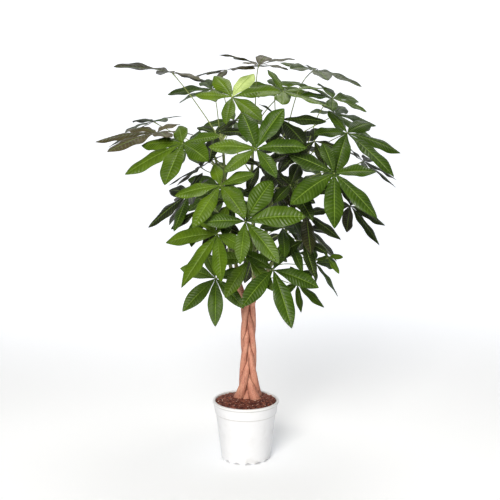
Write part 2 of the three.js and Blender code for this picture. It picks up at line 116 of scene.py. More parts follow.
# One row for each leaf: the trunk that bears it, the height where its petiole starts, its hub as
# (right, back, up), the bearing that the blade leans to, the lean from level, how far the fan of
# leaflets is turned in its own plane, the longest leaflet's length, the number of leaflets, and
# the leaf's age, where 0 is fresh, 0.5 grown, 1 old and 1.5 faded. The leaves of age about 1 sit
# inside the crown, behind it and on its right, so their dark colour is partly painted shade.
LEAVES = [
    ("centre", 95, (3, -25, 100), 265, 48, 163, 16, 6, 0.4),
    ("centre", 74, (0, -32, 80.5), 275, 58, 142, 17, 6, 0.3),
    ("left", 66, (-8, -26, 76), 238, 56, -91, 16, 6, 0.25),
    ("left", 82, (-7, -28, 90), 250, 42, -38, 15, 5, 0.3),
    ("right", 84, (25, -24, 93), 285, 50, -54, 18, 6, 0.55),
    ("centre", 101, (-4, -8, 114), 262, 36, 178, 16, 6, 0.15),
    ("centre", 60, (8, -22, 65), 290, 62, 16, 16, 5, 0.45),
    ("left", 58, (-9, -12, 60.5), 278, 66, 34, 13.5, 6, 0.4),
    ("left", 92, (-18, -18, 101), 232, 34, -14, 18, 6, 0.35),
    ("left", 94, (-26.5, -5, 103.5), 240, 12, 20, 19, 6, 1.45),
    ("right", 93, (30, -8, 103.5), 310, 38, 8, 18, 6, 0.5),
    ("right", 96, (26, -4, 113.5), 325, 24, 150, 16, 6, 0.35),
    ("back_left", 100, (-22, 0, 121), 10, 10, -46, 18, 5, 1.25),
    ("centre", 105, (11, -12, 115.5), 300, 14, 40, 15, 6, 0.3),
    ("centre", 99, (10, -22, 108), 88, 34, 90, 14, 6, 1.0),
    ("back_left", 101, (-6, 12, 122), 190, 8, 30, 15, 6, 1.2),
    ("centre", 106, (4, 10, 123.5), 20, 8, 20, 15, 6, 1.2),
    ("back_right", 99, (21, 6, 122), 340, 16, -20, 16, 6, 0.8),
    ("right", 86, (36.5, 6, 94), 340, 34, 30, 14, 6, 1.0),
    ("right", 76, (32.5, 3, 80.5), 320, 50, -30, 14, 6, 1.0),
    ("centre", 68, (11, -13, 76), 315, 54, 30, 13, 5, 0.4),
    ("right", 63, (25, -5, 65.5), 300, 40, 0, 6, 4, 0.1),
    ("right", 60, (22, 5, 62), 330, 56, 20, 12, 5, 0.6),
    ("right", 57, (16, -1, 56.5), 310, 60, -10, 10, 5, 0.5),
    ("left", 76, (-17, -9, 85.5), 215, 48, -20, 14, 5, 0.8),
    ("back_left", 92, (-29, 12, 106), 170, 15, -15, 15, 6, 0.7),
    ("back_left", 87, (-19, 26, 97), 130, 40, 35, 15, 6, 0.4),
    ("back_left", 97, (-4, 31, 105.5), 95, 32, -40, 15, 6, 0.3),
    ("back_right", 90, (14, 30, 98.5), 70, 40, 150, 16, 6, 1.0),
    ("back_right", 95, (29, 21, 108), 35, 30, -30, 16, 6, 0.4),
    ("back_left", 72, (-18, 14, 83), 160, 50, 20, 14, 6, 1.0),
    ("back_left", 78, (-8, 31, 82.5), 110, 55, 165, 15, 6, 0.35),
    ("back_right", 76, (9, 33, 81.5), 85, 55, -45, 15, 6, 1.0),
    ("back_right", 80, (25, 24, 88), 45, 48, 40, 15, 6, 0.45),
    ("back_left", 64, (-11, 18, 69), 135, 60, -25, 13, 5, 1.0),
    ("back_right", 64, (4, 25, 64.5), 95, 64, 15, 14, 5, 1.0),
    ("back_right", 67, (20, 19, 71), 45, 58, -20, 14, 5, 1.0),
    ("back_left", 100, (-11, 20, 116), 115, 20, 60, 14, 6, 0.35),
    ("back_right", 100, (9, 22, 117), 75, 18, -60, 14, 6, 0.2),
    ("left", 88, (-14, 8, 92), 165, 30, 20, 14, 5, 1.0),
    ("right", 90, (20, 11, 97), 30, 20, -30, 14, 5, 1.0),
    ("centre", 84, (13, -17, 89), 300, 40, 60, 14, 5, 0.8),
    ("centre", 58, (1, -17, 67), 270, 62, -20, 12, 5, 0.3),
    ("left", 72, (-4, -17, 85), 255, 35, 40, 13, 5, 0.8),
    ("right", 74, (18, -10, 79.5), 300, 45, -25, 13, 5, 1.0),
    ("centre", 92, (-9, -8, 103.5), 240, 30, 70, 14, 5, 0.8),
    ("right", 90, (20, -14, 101.5), 290, 30, -60, 13, 5, 1.0),
    ("centre", 86, (4, -14, 94.5), 265, 46, 90, 13, 5, 1.0),
    ("left", 70, (-14, -13, 81), 240, 50, 100, 13, 5, 0.8),
    ("back_right", 84, (10, 0, 90.5), 290, 45, 20, 13, 5, 1.0),
    ("back_left", 68, (-11, 3, 75.5), 235, 50, 60, 13, 5, 1.0),
    ("right", 70, (17, -13, 72), 300, 58, -60, 12, 5, 0.8),
    ("back_right", 72, (14, 12, 76), 320, 50, 40, 13, 5, 1.0),
]

# The leaflet painted pale, as if lit through from behind, as (leaf, leaflet counted across the fan).
BACKLIT_LEAFLET = (6, 3)


def length(name, default, description):
    return bpy.props.FloatProperty(
        name=name, default=default, min=0, unit="LENGTH", precision=4, description=description
    )


def colour(name, default, description):
    return bpy.props.FloatVectorProperty(
        name=name, default=default, min=0, max=1, size=4, subtype="COLOR", description=description
    )


def number(name, default, description):
    return bpy.props.FloatProperty(name=name, default=default, description=description)


def count(name, default, description):
    return bpy.props.IntProperty(name=name, default=default, min=1, description=description)


class PotSettings(bpy.types.PropertyGroup):
    wall: length("Wall", 0.0022, "Thickness of the moulded wall")
    base_radius: length("Base radius", 0.0785, "Outer radius just above the foot's rounding")
    collar_height: length("Collar height", 0.039, "Height of the straighter band under the rim")
    collar_step: length("Collar step", 0.003, "How far the band stands out from the wall below")
    lip_out: length("Lip overhang", 0.0024, "How far the rolled edge stands out from the band")
    lip_height: length("Lip height", 0.007, "Height of the rolled edge")
    foot_rounding: length("Foot rounding", 0.004, "Radius of the corner between wall and floor")
    arch_width: length("Drain arch width", 0.02, "Width of each arch in the foot")
    arch_height: length("Drain arch height", 0.007, "Height of each arch in the foot")
    arch_start: number("First arch", 275, "Where the first arch is, in degrees from the right")
    arches: count("Drain arches", 14, "Number of arches round the foot")
    segments: count("Segments", 128, "Facets round the pot")
    plastic: colour("Plastic", (0.83, 0.84, 0.87, 1), "Colour of the moulded plastic")
    # The scuff colour also paints the shade lines under the band and under the rolled edge.
    scuff_and_shade: colour("Scuffs", (0.46, 0.45, 0.44, 1), "Colour of dust and scuffs on the plastic")


class SoilSettings(bpy.types.PropertyGroup):
    roughness: length("Lumps", 0.0035, "Height of the lumps in the surface")
    chips: count("Bark chips", 900, "Number of bark chips lying on the soil")
    perlite: count("Perlite", 150, "Number of pale grains lying on the soil")
    peat: colour("Peat", (0.05, 0.009, 0.007, 1), "Colour of the damp soil")
    crumb: colour("Crumbs", (0.19, 0.044, 0.029, 1), "Colour of the dry crumbs in the soil")
    chip: colour("Chips", (0.38, 0.118, 0.072, 1), "Colour of the bark chips")
    grain: colour("Perlite colour", (0.8, 0.72, 0.6, 1), "Colour of the pale grains")


class TrunkSettings(bpy.types.PropertyGroup):
    press: number("Press", 1.3, "How much thicker the trunks are where they press together")
    gather: number("Gather", 0.15, "How far the trunks are drawn in to the plait's axis")
    ridge: length("Bark relief", 0.0006, "Depth of the furrows in the bark")
    # Painted shade: the dark colour painted where two trunks press together.
    crevice_shade: colour("Crevices", (0.12, 0.035, 0.02, 1), "Colour where two trunks press together")
    bark: colour("Bark", (0.5, 0.19, 0.13, 1), "Main colour of the young bark")
    bark_dark: colour("Bark furrows", (0.27, 0.09, 0.055, 1), "Colour in the bark's furrows")
    # Pale streaks: partly the bark's own, partly painted highlights.
    bark_pale_and_highlight: colour("Bark highlights", (0.76, 0.42, 0.29, 1), "Colour of the bark's ridges")
    shoot: colour("Green shoot", (0.16, 0.2, 0.06, 1), "Colour of the young wood in the crown")


class LeafSettings(bpy.types.PropertyGroup):
    thickness: length("Thickness", 0.0005, "Thickness of a leaflet")
    vein_pairs: count("Vein pairs", 15, "Side veins on each half of a leaflet")
    quilting: number("Quilting", 0.008, "Height of the swell between veins, over the length")
    fold: number("Fold", 0.2, "How steeply the halves rise from the midrib")
    # Painted backlight: the pale colour of one leaflet lit through from behind.
    pale: colour("Pale leaf", (0.56, 0.7, 0.24, 1), "Top of a leaflet that has just opened")
    fresh: colour("Fresh leaf", (0.12, 0.2, 0.008, 1), "Top of a young leaflet")
    grown: colour("Grown leaf", (0.044, 0.092, 0.004, 1), "Top of a grown leaflet")
    # Nearly black: partly the colour of old leaves, partly painted shade on the leaves set deep in the
    # crown.
    old_and_shaded: colour("Old leaf", (0.013, 0.017, 0.006, 1), "Top of an old leaflet")
    faded: colour("Faded leaf", (0.12, 0.095, 0.045, 1), "Top of a leaflet that is past its best")
    vein: colour("Veins", (0.2, 0.32, 0.04, 1), "Midrib and side veins")
    underside: colour("Underside", (0.09, 0.105, 0.024, 1), "Lower face of a leaflet")
    # Partly painted shade, like the old top colour.
    under_old_and_shaded: colour("Old underside", (0.05, 0.034, 0.014, 1), "Lower face of an old leaflet")
    petiole: colour("Petiole", (0.33, 0.4, 0.12, 1), "Leaf stalks and hubs")


class StageSettings(bpy.types.PropertyGroup):
    distance: length("Camera distance", 3.05, "From the pot's axis to the camera")
    height: length("Camera height", 1.19, "Height of the camera over the floor")
    tilt: number("Camera tilt", 9.66, "How far the camera looks down, in degrees")
    lens: number("Focal length", 72.0, "Focal length on a 36 mm wide sensor, in millimetres")
    floor: colour("Floor", (0.88, 0.9, 0.94, 1), "Colour of the floor and backdrop")
    glow: number("Backdrop glow", 0.66, "How brightly the backdrop is lit from behind")
    ambient: number("Ambient light", 0.09, "Strength of the light from all round")
    aside: length("Camera offset", 0.013, "How far the camera stands to the right")


# ---- Modelling helpers -------------------------------------------------------------------
def settings():
    return bpy.context.scene.money_tree


def deselect():
    if bpy.context.object and bpy.context.object.mode != "OBJECT":
        bpy.ops.object.mode_set(mode="OBJECT")
    bpy.ops.object.select_all(action="DESELECT")


def activate(piece):
    deselect()
    piece.select_set(True)
    bpy.context.view_layer.objects.active = piece


def apply_modifier(piece, kind, **values):
    activate(piece)
    modifier = piece.modifiers.new(kind.lower(), kind)
    for key, value in values.items():
        setattr(modifier, key, value)
    bpy.ops.object.modifier_apply(modifier=modifier.name)


def smooth(piece, angle=60):
    activate(piece)
    bpy.ops.object.shade_smooth_by_angle(angle=math.radians(angle))


def join(pieces, name):
    """Joins pieces into the first one, which takes the name."""
    deselect()
    for piece in pieces:
        piece.select_set(True)
    bpy.context.view_layer.objects.active = pieces[0]
    if len(pieces) > 1:
        bpy.ops.object.join()
    pieces[0].name = name
    return pieces[0]


def place(piece, nodes, materials=()):
    """Puts a finished piece in the plant: its looks, its body and the frame nodes it stands for."""
    for material in materials:
        piece.data.materials.append(material)
    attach(piece, "root")
    if nodes:
        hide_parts(*nodes)


def mesh_piece(name, points, faces):
    mesh = bpy.data.meshes.new(name)
    mesh.from_pydata([tuple(p) for p in points], [], faces)
    mesh.update()
    piece = bpy.data.objects.new(name, mesh)
    bpy.context.scene.collection.objects.link(piece)
    return piece


def turn(name, profile, segments):
    """Turns a profile of (radius, height) points round the Z axis: it starts and ends in a disc."""
    deselect()
    radius, height = profile[0]
    bpy.ops.mesh.primitive_circle_add(
        vertices=segments, radius=radius, fill_type="NGON", location=(0, 0, height)
    )
    piece = bpy.context.object
    bpy.ops.object.transform_apply(location=True, rotation=True, scale=True)
    bpy.ops.object.mode_set(mode="EDIT")
    bpy.ops.mesh.select_all(action="DESELECT")
    bpy.ops.mesh.select_mode(type="EDGE")
    bpy.ops.mesh.select_all(action="SELECT")
    for new_radius, new_height in profile[1:]:
        bpy.ops.mesh.extrude_edges_move(
            TRANSFORM_OT_translate={"value": (0, 0, new_height - height)}
        )
        ratio = new_radius / radius
        bpy.ops.transform.resize(
            value=(ratio, ratio, 1), center_override=(0, 0, new_height)
        )
        radius, height = new_radius, new_height
    bpy.ops.mesh.edge_face_add()
    bpy.ops.mesh.select_all(action="SELECT")
    bpy.ops.mesh.normals_make_consistent(inside=False)
    bpy.ops.object.mode_set(mode="OBJECT")
    piece.name = name
    return piece


def arc(centre, radius, start, end, steps):
    """Points of an arc in a profile, angles in degrees from outward towards up."""
    angles = [math.radians(start + (end - start) * i / steps) for i in range(steps + 1)]
    return [(centre[0] + radius * math.cos(a), centre[1] + radius * math.sin(a)) for a in angles]


def vary(whole):
    """A repeatable spread of values between -1 and 1, one for each whole number."""
    return 2 * ((whole * 0.618034) % 1) - 1


def tube(name, centres, radii, sides):
    """A closed tube along a line of points, as a bevelled curve made into a mesh."""
    curve = bpy.data.curves.new(name, "CURVE")
    curve.dimensions = "3D"
    curve.bevel_depth = 1
    curve.bevel_resolution = max(sides // 4 - 1, 0)
    curve.use_fill_caps = True
    spline = curve.splines.new("POLY")
    spline.points.add(len(centres) - 1)
    for spline_point, centre, radius in zip(spline.points, centres, radii):
        spline_point.co = (*centre, 1)
        spline_point.radius = radius
    piece = bpy.data.objects.new(name, curve)
    bpy.context.scene.collection.objects.link(piece)
    activate(piece)
    bpy.ops.object.convert(target="MESH")
    piece = bpy.context.object
    bpy.ops.object.mode_set(mode="EDIT")
    bpy.ops.mesh.select_all(action="SELECT")
    bpy.ops.mesh.remove_doubles(threshold=1e-6)
    bpy.ops.mesh.normals_make_consistent(inside=False)
    bpy.ops.object.mode_set(mode="OBJECT")
    return piece


# ---- Where the trunks and leaves grow ----------------------------------------------------
def strand_radius(z):
    return STRAND_RADIUS + STRAND_FLARE * math.exp(-max(z - SOIL_MOUND, 0) / FLARE_HEIGHT)


def strand_centre(strand, z):
    turned = 2 * math.pi * ((z - PLAIT_START) / PLAIT_PITCH + strand / STRANDS)
    radius = strand_radius(z)
    return Vector((
        PLAIT_CENTRE_X + PLAIT_WIDTH * radius * math.sin(turned),
        PLAIT_CENTRE_Y + PLAIT_DEPTH * radius * math.sin(2 * turned),
        z,
    ))


def smooth_line(points, share):
    """A point on the Catmull-Rom curve through points."""
    along = (len(points) - 1) * share
    index = min(int(along), len(points) - 2)
    t = along - index
    before = points[index - 1] if index else 2 * points[0] - points[1]
    after = points[index + 2] if index + 2 < len(points) else 2 * points[-1] - points[-2]
    low, high = points[index], points[index + 1]
    leave, arrive = 0.5 * (high - before), 0.5 * (after - low)
    return (
        low
        + leave * t
        + (3 * (high - low) - 2 * leave - arrive) * t * t
        + (2 * (low - high) + leave + arrive) * t ** 3
    )


def trunk_line(order, name, plait_step=PLAIT_STEP, steps_above=STEM_STEPS_ABOVE):
    """Centres and radii of one trunk, from its foot in the soil to its tip."""
    plan = [
        strand_centre(order, z)
        for z in range(SOIL_MOUND - ROOT_DEPTH, PLAIT_TOP, PLAIT_STEP)
    ]
    foot, top = plan[0].z, plan[-1].z
    steps = round((top - foot) / plait_step)
    centres = [strand_centre(order, foot + (top - foot) * i / steps) for i in range(steps + 1)]
    free = [Vector(p) * CM_TO_MM for p in STEM_ROUTES[name]]
    line = plan[-2:] + free
    joined = 1 / (len(free) + 1)
    centres += [
        smooth_line(line, joined + (1 - joined) * i / steps_above)
        for i in range(1, steps_above + 1)
    ]
    tip = centres[-1].z
    radii = []
    for centre in centres:
        share = min(max((centre.z - PLAIT_TOP) / (tip - PLAIT_TOP), 0), 1)
        radii.append(strand_radius(centre.z) * (1 - share) + STEM_TIP_RADIUS * share)
    return centres, radii


def trunk_at(line, z):
    centres, radii = line
    above = max(next(i for i, centre in enumerate(centres) if centre.z >= z), 1)
    low, high = centres[above - 1], centres[above]
    share = (z - low.z) / (high.z - low.z)
    return low.lerp(high, share), radii[above - 1] * (1 - share) + radii[above] * share


class Leaf:
    """Where one leaf grows: its petiole's foot, its hub and the plane of its leaflets."""

    def __init__(self, number, row, trunks):
        stem, start, hub, bearing, lean, turned, blade, self.count, self.age = row
        centre, radius = trunk_at(trunks[stem], start * CM_TO_MM)
        self.number = number
        self.hub = Vector(hub) * CM_TO_MM
        self.outward = self.hub - centre
        self.outward.z = 0
        self.outward.normalize()
        bearing, lean = math.radians(bearing), math.radians(lean)
        leaning = Vector((math.cos(bearing), math.sin(bearing), 0))
        self.normal = math.cos(lean) * UP + math.sin(lean) * leaning
        self.foot = centre + self.outward * (radius + PETIOLE_BASE_RADIUS + GAP)
        self.ahead = (self.outward - self.outward.dot(self.normal) * self.normal).normalized()
        self.ahead.rotate(Matrix.Rotation(math.radians(turned), 3, self.normal))
        self.blade = blade * CM_TO_MM

    def petiole(self, bow, t):
        """A point on the petiole that bows sideways by that share of its span."""
        span = (self.hub - self.foot).length
        sideways = self.outward.cross(UP) * bow * span
        first = self.foot + 0.22 * span * self.outward + 0.3 * span * UP + sideways
        second = self.hub - 0.2 * span * self.normal - 0.25 * span * self.outward + sideways
        s = 1 - t
        return s ** 3 * self.foot + 3 * s * s * t * first + 3 * s * t * t * second + t ** 3 * self.hub

    def leaflet(self, order, lift, scale):
        """Direction and length of one leaflet, counted across the fan."""
        share = order / (self.count - 1) - 0.5
        swing = math.radians(share * FAN_ANGLE + 7 * vary(7 * self.number + order))
        side = self.normal.cross(self.ahead)
        raised = math.radians(lift)
        level = math.cos(swing) * self.ahead + math.sin(swing) * side
        direction = math.cos(raised) * level + math.sin(raised) * self.normal
        shortening = 1 - FAN_SHORTENING * abs(2 * share) ** 1.5
        spread = 1 + 0.06 * vary(5 * self.number + 3 * order)
        return direction, self.blade * shortening * scale * spread

    def tip(self, direction, length):
        return self.hub + length * direction - 0.5 * BLADE_DROOP * length * UP


def corners_of(node):
    """A search tree of a frame node's corners, in millimetres."""
    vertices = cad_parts[node].data.vertices
    tree = kdtree.KDTree(len(vertices))
    for index, vertex in enumerate(vertices):
        tree.insert(vertex.co / MM, index)
    tree.balance()
    return tree


def read_leaf(leaf, node):
    """Finds in the frame which bow the petiole took, and which lift and scale each leaflet took."""
    tree = corners_of(node)
    bow = min(PETIOLE_BOWS, key=lambda b: tree.find(leaf.petiole(b, PETIOLE_MIDDLE))[2])
    leaflets = []
    for order in range(leaf.count):
        options = [leaf.leaflet(order, lift, s) for s in BLADE_SCALES for lift in BLADE_LIFTS]
        misses = [tree.find(leaf.tip(*option))[2] for option in options]
        best = min(range(len(options)), key=misses.__getitem__)
        if misses[best] < SAME_POINT:
            leaflets.append((order, *options[best]))
    return bow, leaflets


# ---- Materials ---------------------------------------------------------------------------
class Nodes:
    """Short hands for building a shader or a node group."""

    def __init__(self, tree):
        self.tree = tree

    def add(self, kind, **values):
        node = self.tree.nodes.new(kind)
        for key, value in values.items():
            setattr(node, key, value)
        return node

    def link(self, source, target):
        self.tree.links.new(source, target)

    def put(self, value, socket):
        """Links a socket or sets a value."""
        if isinstance(value, bpy.types.NodeSocket):
            self.link(value, socket)
        else:
            socket.default_value = value

    def math(self, operation, a, b=0.0, c=0.0):
        node = self.add("ShaderNodeMath", operation=operation)
        for value, socket in zip((a, b, c), node.inputs):
            self.put(value, socket)
        return node.outputs[0]

    def mix(self, mask, a, b, blend="MIX"):
        node = self.add("ShaderNodeMix", data_type="RGBA", blend_type=blend)
        self.put(mask, node.inputs[0])
        self.put(a, node.inputs[6])
        self.put(b, node.inputs[7])
        return node.outputs[2]

    def ramp(self, value, low, high, to_low=0.0, to_high=1.0):
        node = self.add("ShaderNodeMapRange", interpolation_type="SMOOTHSTEP")
        for item, socket in zip((value, low, high, to_low, to_high), node.inputs):
            self.put(item, socket)
        return node.outputs[0]

    def noise(self, vector, scale, detail=4.0, roughness=0.55):
        node = self.add("ShaderNodeTexNoise")
        self.link(vector, node.inputs["Vector"])
        node.inputs["Scale"].default_value = scale
        node.inputs["Detail"].default_value = detail
        node.inputs["Roughness"].default_value = roughness
        return node.outputs[0]

    def mapped(self, vector, scale):
        node = self.add("ShaderNodeMapping")
        self.link(vector, node.inputs["Vector"])
        node.inputs["Scale"].default_value = scale
        return node.outputs[0]

    def group(self, tree, **values):
        node = self.add("ShaderNodeGroup", node_tree=tree)
        for key, value in values.items():
            self.put(value, node.inputs[key])
        return node.outputs

    def mottle(self, vector, scale, low, high):
        return self.group(mottle_group(), Vector=vector, Scale=scale, Low=low, High=high)[0]

    def axes(self, vector):
        split = self.add("ShaderNodeSeparateXYZ")
        self.link(vector, split.inputs[0])
        return split.outputs

    def attribute(self, name):
        return self.add("ShaderNodeAttribute", attribute_name=name).outputs["Fac"]

    def times(self, a, b):
        return self.math("MULTIPLY", a, b)


def new_group(name, inputs, outputs):
    """A shader node group with named inputs, given as (name, type, default), and outputs."""
    tree = bpy.data.node_groups.new(name, "ShaderNodeTree")
    for label, kind, default in inputs:
        socket = tree.interface.new_socket(label, in_out="INPUT", socket_type=kind)
        if default is not None:
            socket.default_value = default
    for label, kind in outputs:
        tree.interface.new_socket(label, in_out="OUTPUT", socket_type=kind)
    nodes = Nodes(tree)
    return nodes, nodes.add("NodeGroupInput").outputs, nodes.add("NodeGroupOutput").inputs


def mottle_group():
    """Soft blotches: a mask from 0 to 1 that wanders over the surface."""
    if "mottle" in bpy.data.node_groups:
        return bpy.data.node_groups["mottle"]
    inputs = [
        ("Vector", "NodeSocketVector", None),
        ("Scale", "NodeSocketFloat", 10.0),
        ("Low", "NodeSocketFloat", 0.35),
        ("High", "NodeSocketFloat", 0.65),
    ]
    nodes, given, out = new_group("mottle", inputs, [("Mask", "NodeSocketFloat")])
    texture = nodes.add("ShaderNodeTexNoise")
    texture.inputs["Detail"].default_value = 5
    nodes.link(given["Vector"], texture.inputs["Vector"])
    nodes.link(given["Scale"], texture.inputs["Scale"])
    nodes.link(nodes.ramp(texture.outputs[0], given["Low"], given["High"]), out["Mask"])
    return nodes.tree


def vein_group(pairs):
    """Midrib, side veins and swell of a leaflet, from its own UV map."""
    if "leaf_veins" in bpy.data.node_groups:
        return bpy.data.node_groups["leaf_veins"]
    inputs = [("UV", "NodeSocketVector", None)]
    outputs = [(name, "NodeSocketFloat") for name in ("Midrib", "Veins", "Height")]
    nodes, given, out = new_group("leaf_veins", inputs, outputs)
    across, along, _ = nodes.axes(given["UV"])
    across = nodes.math("ABSOLUTE", nodes.math("MULTIPLY_ADD", across, 2.0, -1.0))
    midrib = nodes.ramp(across, 0.02, 0.075, 1.0, 0.0)
    swell = nodes.math("PINGPONG", nodes.times(along, float(pairs)), 0.5)
    fade = nodes.ramp(across, 0.75, 1.0, 1.0, 0.0)
    veins = nodes.times(nodes.ramp(swell, 0.0, 0.13, 1.0, 0.0), fade)
    net = nodes.noise(nodes.mapped(given["UV"], (14.0, 45.0, 1.0)), 1.0, 3.0)
    quilt = nodes.ramp(swell, 0.0, 0.4)
    height = nodes.math("MULTIPLY_ADD", quilt, fade, nodes.times(net, 0.35))
    height = nodes.math("SUBTRACT", height, nodes.times(midrib, 0.9))
    nodes.link(midrib, out["Midrib"])
    nodes.link(veins, out["Veins"])
    nodes.link(height, out["Height"])
    return nodes.tree


def new_material(name):
    """A material with a Principled shader; returns it, its nodes, the inputs and where it is on."""
    material = bpy.data.materials.new(name)
    material.use_nodes = True
    nodes = Nodes(material.node_tree)
    nodes.tree.nodes.clear()
    shader = nodes.add("ShaderNodeBsdfPrincipled")
    output = nodes.add("ShaderNodeOutputMaterial")
    nodes.link(shader.outputs[0], output.inputs[0])
    return material, nodes, shader.inputs, nodes.add("ShaderNodeTexCoord").outputs["Object"]


def bump(nodes, shader, height, strength, distance):
    node = nodes.add("ShaderNodeBump")
    node.inputs["Strength"].default_value = strength
    node.inputs["Distance"].default_value = distance
    nodes.link(height, node.inputs["Height"])
    nodes.link(node.outputs[0], shader["Normal"])


def by_age(nodes, age, stops):
    """Blends colours over a leaflet's age; the stops are (age, colour), youngest first."""
    result = stops[0][1]
    for (start, _), (end, blended) in zip(stops, stops[1:]):
        result = nodes.mix(nodes.ramp(age, start, end), result, blended)
    return result


def leaf_material(name, ages, blotch, shade, veins, midrib, gloss, roughness, specular):
    """One face of the leaflets; gloss is the scale and high end of its roughness mottle."""
    look = settings().leaf
    material, nodes, shader, place_on = new_material(name)
    uv = nodes.add("ShaderNodeUVMap", uv_map="leaf").outputs[0]
    middle, sides, height = nodes.group(vein_group(look.vein_pairs), UV=uv)
    body = by_age(nodes, nodes.attribute("age"), ages)
    darker = nodes.mix(1.0, body, shade, "MULTIPLY")
    body = nodes.mix(nodes.mottle(place_on, blotch, 0.3, 0.7), body, darker)
    body = nodes.mix(nodes.times(sides, veins), body, look.vein)
    body = nodes.mix(nodes.times(middle, midrib), body, look.vein)
    nodes.link(body, shader["Base Color"])
    mottle = nodes.mottle(place_on, gloss[0], 0.3, gloss[1])
    nodes.link(nodes.ramp(mottle, 0.0, 1.0, *roughness), shader["Roughness"])
    shader["Specular IOR Level"].default_value = specular
    return material, nodes, shader, height


def leaf_top_material():
    look = settings().leaf
    ages = [(-1, look.pale), (0, look.fresh), (0.5, look.grown), (1, look.old_and_shaded), (1.5, look.faded)]
    material, nodes, shader, height = leaf_material(
        "leaf_top", ages, blotch=22.0, shade=(0.6, 0.66, 0.55, 1), veins=0.22, midrib=0.7,
        gloss=(55.0, 0.75), roughness=(0.34, 0.52), specular=0.27,
    )
    bump(nodes, shader, height, 0.6, 0.0013)
    return material


def leaf_under_material():
    look = settings().leaf
    ages = [(-1, look.pale), (0, look.underside), (1, look.under_old_and_shaded)]
    material, nodes, shader, height = leaf_material(
        "leaf_underside", ages, blotch=26.0, shade=(0.72, 0.7, 0.66, 1), veins=0.25, midrib=0.8,
        gloss=(26.0, 0.7), roughness=(0.5, 0.64), specular=0.3,
    )
    bump(nodes, shader, nodes.times(height, -1.0), 0.5, 0.001)
    return material


def petiole_material():
    look = settings().leaf
    material, nodes, shader, place_on = new_material("petiole")
    blotch = nodes.mottle(place_on, 60.0, 0.35, 0.7)
    flecks = nodes.mottle(place_on, 420.0, 0.58, 0.7)
    body = nodes.mix(blotch, look.petiole, (0.2, 0.25, 0.07, 1))
    body = nodes.mix(nodes.times(flecks, 0.6), body, (0.2, 0.11, 0.05, 1))
    nodes.link(body, shader["Base Color"])
    nodes.link(nodes.ramp(blotch, 0.0, 1.0, 0.4, 0.55), shader["Roughness"])
    bump(nodes, shader, nodes.noise(place_on, 900.0), 0.25, 0.0004)
    return material


def bark_material():
    look = settings().trunk
    material, nodes, shader, place_on = new_material("bark")
    streaks = nodes.noise(nodes.mapped(place_on, (190.0, 190.0, 12.0)), 1.0, 6.0, 0.6)
    fine = nodes.noise(nodes.mapped(place_on, (700.0, 700.0, 120.0)), 1.0, 5.0, 0.6)
    blotch = nodes.mottle(place_on, 34.0, 0.38, 0.66)
    body = nodes.mix(nodes.ramp(streaks, 0.3, 0.52), look.bark_dark, look.bark)
    # Pale streaks and blotches: partly the bark's own paler streaks, partly painted highlights.
    body = nodes.mix(nodes.ramp(fine, 0.45, 0.72, 0.0, 0.85), body, look.bark_pale_and_highlight)
    body = nodes.mix(nodes.times(blotch, 0.35), body, look.bark_pale_and_highlight)
    rings = nodes.mottle(nodes.mapped(place_on, (60.0, 60.0, 420.0)), 1.0, 0.62, 0.72)
    body = nodes.mix(nodes.times(rings, 0.35), body, look.bark_dark)
    # Painted shade: darker, redder bark where two trunks press together.
    crevice_shade = nodes.ramp(nodes.attribute("crevice_shade"), 0.1, 0.9)
    body = nodes.mix(nodes.times(crevice_shade, 0.85), body, look.crevice_shade)
    # The wood turns green above the plait.
    green = nodes.math("MULTIPLY_ADD", blotch, 0.05, nodes.axes(place_on)[2])
    body = nodes.mix(nodes.ramp(green, 0.53, 0.68), body, look.shoot)
    nodes.link(body, shader["Base Color"])
    nodes.link(nodes.ramp(fine, 0.3, 0.7, 0.55, 0.8), shader["Roughness"])
    relief = nodes.math("MULTIPLY_ADD", fine, 0.5, streaks)
    bump(nodes, shader, relief, 0.5, 0.0014)
    return material


def soil_material(name, low, high, scale, grain):
    """Crumbly earth: two colours in blotches, with a rough relief."""
    material, nodes, shader, place_on = new_material(name)
    crumbs = nodes.mottle(place_on, scale, 0.4, 0.66)
    specks = nodes.mottle(place_on, scale * 3.1, 0.5, 0.7)
    body = nodes.mix(crumbs, low, high)
    body = nodes.mix(nodes.times(specks, 0.5), body, low)
    nodes.link(body, shader["Base Color"])
    nodes.link(nodes.ramp(crumbs, 0.0, 1.0, 0.95, 0.75), shader["Roughness"])
    bump(nodes, shader, nodes.noise(place_on, grain, 6.0, 0.7), 0.9, 0.002)
    return material


def chip_material(name, low, high):
    """Loose bits on the soil, each with a tint of its own between two colours."""
    material, nodes, shader, place_on = new_material(name)
    body = nodes.mix(nodes.attribute("tint"), low, high)
    grain = nodes.mottle(place_on, 700.0, 0.4, 0.65)
    body = nodes.mix(nodes.times(grain, 0.5), body, low)
    nodes.link(body, shader["Base Color"])
    nodes.link(nodes.ramp(grain, 0.0, 1.0, 0.7, 0.9), shader["Roughness"])
    bump(nodes, shader, nodes.noise(place_on, 1500.0, 5.0, 0.6), 0.6, 0.0008)
    return material


